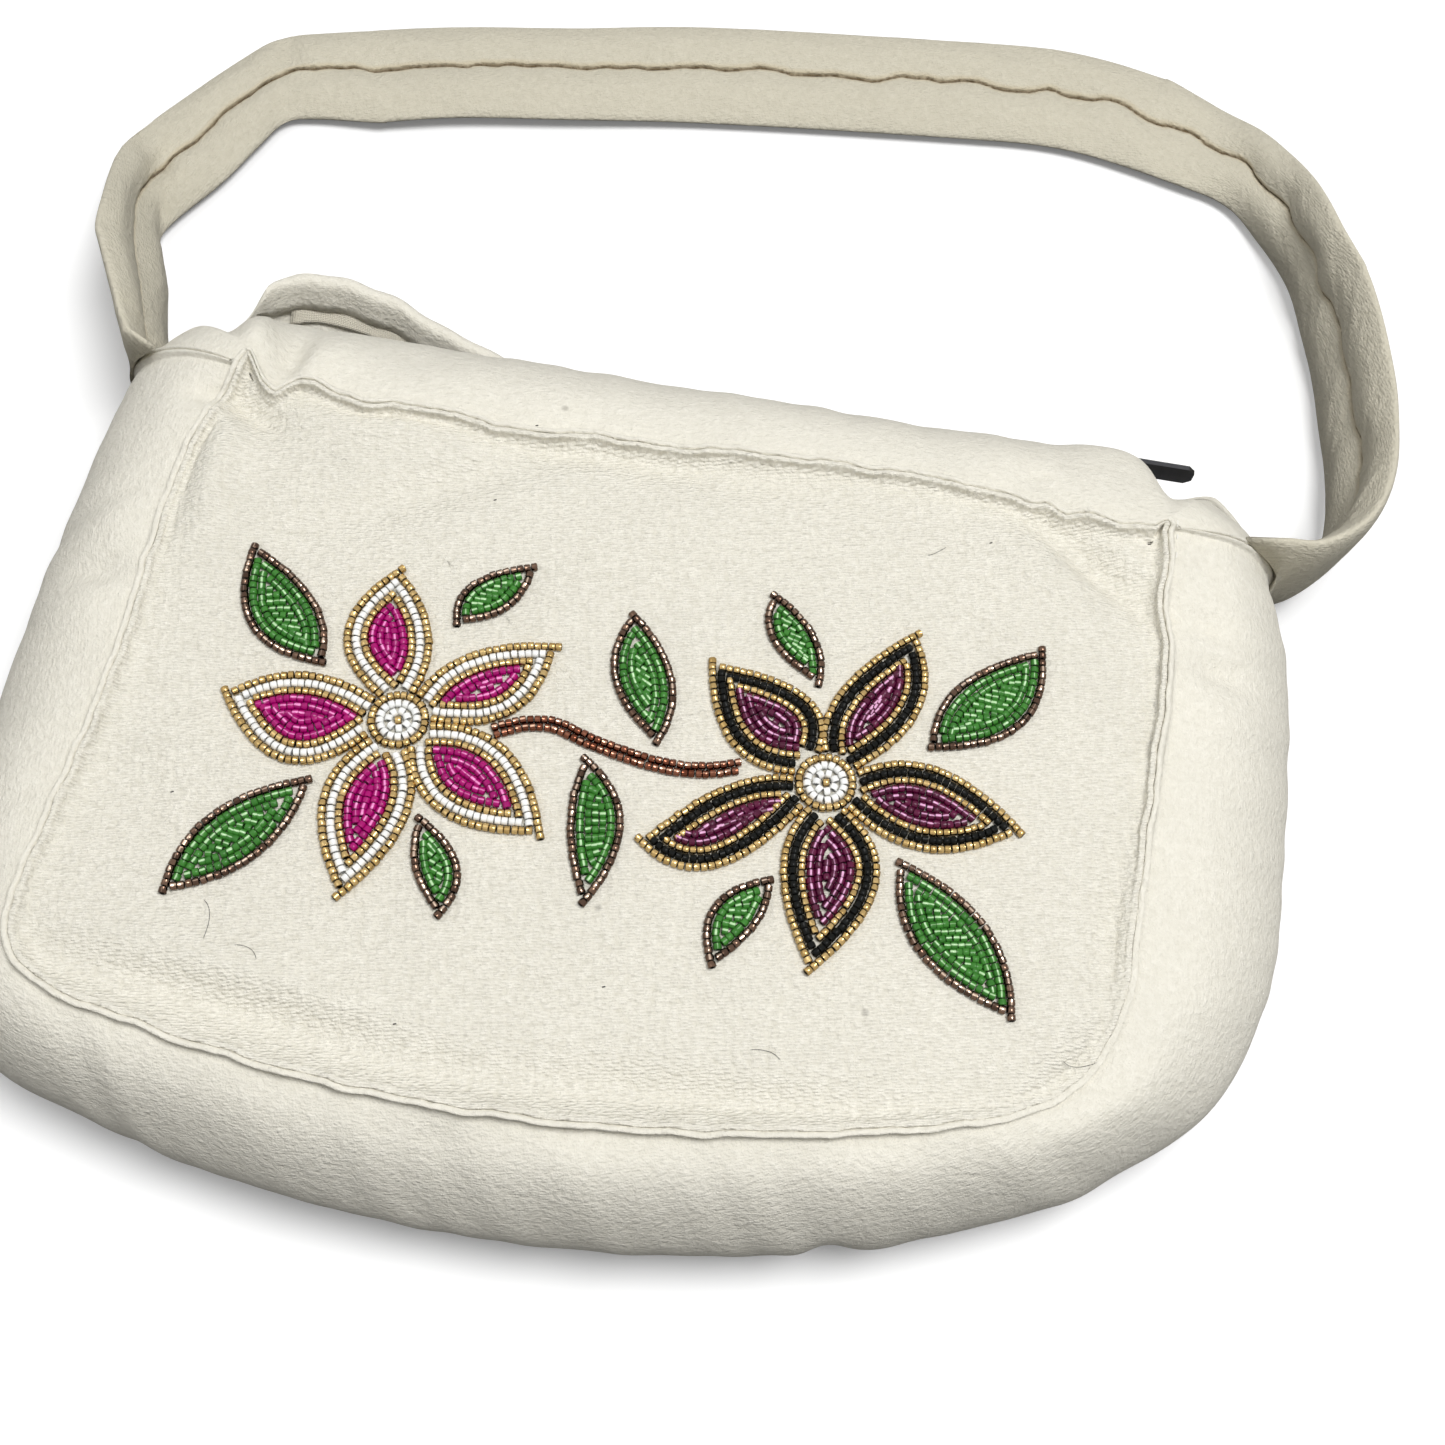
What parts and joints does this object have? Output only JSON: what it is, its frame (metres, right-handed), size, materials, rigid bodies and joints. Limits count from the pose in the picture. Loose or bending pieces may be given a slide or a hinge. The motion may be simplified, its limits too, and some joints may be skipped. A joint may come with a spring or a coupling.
{
  "type": "beaded shoulder bag",
  "caption": "Small cloth shoulder bag with a zip mouth, a flat shoulder strap and a floral beadwork front, lying on its back.",
  "frame": {"origin": "middle of the back panel's outer face, on the surface that the bag lies on", "axes": "+X to the right as seen from the beaded front, +Y from the bag's bottom to its zip mouth, +Z out of the beaded front"},
  "size_m": [0.3041, 0.3193, 0.0474],
  "materials": {
    "cream_wool": "brushed wool twill",
    "zip_tape": "woven tape",
    "zip_coil": "satin nylon",
    "gunmetal": "dark satin",
    "gold_bead": "metallic coated glass",
    "white_bead": "opaque glossy glass",
    "magenta_bead": "silver-lined glass",
    "black_bead": "opaque glossy glass",
    "plum_bead": "silver-lined glass",
    "bronze_bead": "metallic coated glass",
    "green_bead": "silver-lined glass",
    "red_brown_bead": "metallic coated glass"
  },
  "bodies": {
    "bag": {"front_panel": "cream_wool", "back_panel": "cream_wool", "gusset": "cream_wool", "top_strip_front": "cream_wool", "top_strip_back": "cream_wool", "strap": "cream_wool", "zip_tape_front": "zip_tape", "zip_tape_back": "zip_tape", "zip_coil_front": "zip_coil", "zip_coil_back": "zip_coil", "zip_end_stop": "gunmetal", "left_flower_outline": "gold_bead", "left_flower_centre": "white_bead", "left_flower_top_band": "white_bead", "left_flower_top_field": "magenta_bead", "left_flower_upper_right_band": "white_bead", "left_flower_upper_right_field": "magenta_bead", "left_flower_lower_right_band": "white_bead", "left_flower_lower_right_field": "magenta_bead", "left_flower_lower_band": "white_bead", "left_flower_lower_field": "magenta_bead", "left_flower_left_band": "white_bead", "left_flower_left_field": "magenta_bead", "right_flower_outline": "gold_bead", "right_flower_centre": "white_bead", "right_flower_upper_left_band": "black_bead", "right_flower_upper_left_field": "plum_bead", "right_flower_upper_right_band": "black_bead", "right_flower_upper_right_field": "plum_bead", "right_flower_right_band": "black_bead", "right_flower_right_field": "plum_bead", "right_flower_lower_band": "black_bead", "right_flower_lower_field": "plum_bead", "right_flower_left_band": "black_bead", "right_flower_left_field": "plum_bead", "leaf_upper_left_outline": "bronze_bead", "leaf_upper_left_field": "green_bead", "leaf_upper_middle_outline": "bronze_bead", "leaf_upper_middle_field": "green_bead", "leaf_lower_left_outline": "bronze_bead", "leaf_lower_left_field": "green_bead", "leaf_lower_middle_outline": "bronze_bead", "leaf_lower_middle_field": "green_bead", "leaf_stem_upper_outline": "bronze_bead", "leaf_stem_upper_field": "green_bead", "leaf_stem_lower_outline": "bronze_bead", "leaf_stem_lower_field": "green_bead", "leaf_top_right_outline": "bronze_bead", "leaf_top_right_field": "green_bead", "leaf_far_right_outline": "bronze_bead", "leaf_far_right_field": "green_bead", "leaf_lower_right_outline": "bronze_bead", "leaf_lower_right_field": "green_bead", "leaf_lower_centre_outline": "bronze_bead", "leaf_lower_centre_field": "green_bead", "stem": "red_brown_bead"},
    "zip_slider": {"zip_slider": "gunmetal"},
    "zip_pull": {"zip_pull": "gunmetal"}
  },
  "joints": [
    {"name": "zip_slide", "type": "slide", "parent": "bag", "child": "zip_slider", "axis": [-1, 0, 0], "range_m": [0, 0.095]},
    {"name": "zip_pull_hinge", "type": "hinge", "parent": "zip_slider", "child": "zip_pull", "pos_m": [0.0882, 0.08913, 0.02], "axis": [0, 0, 1], "range_deg": [0, 180]}
  ]
}
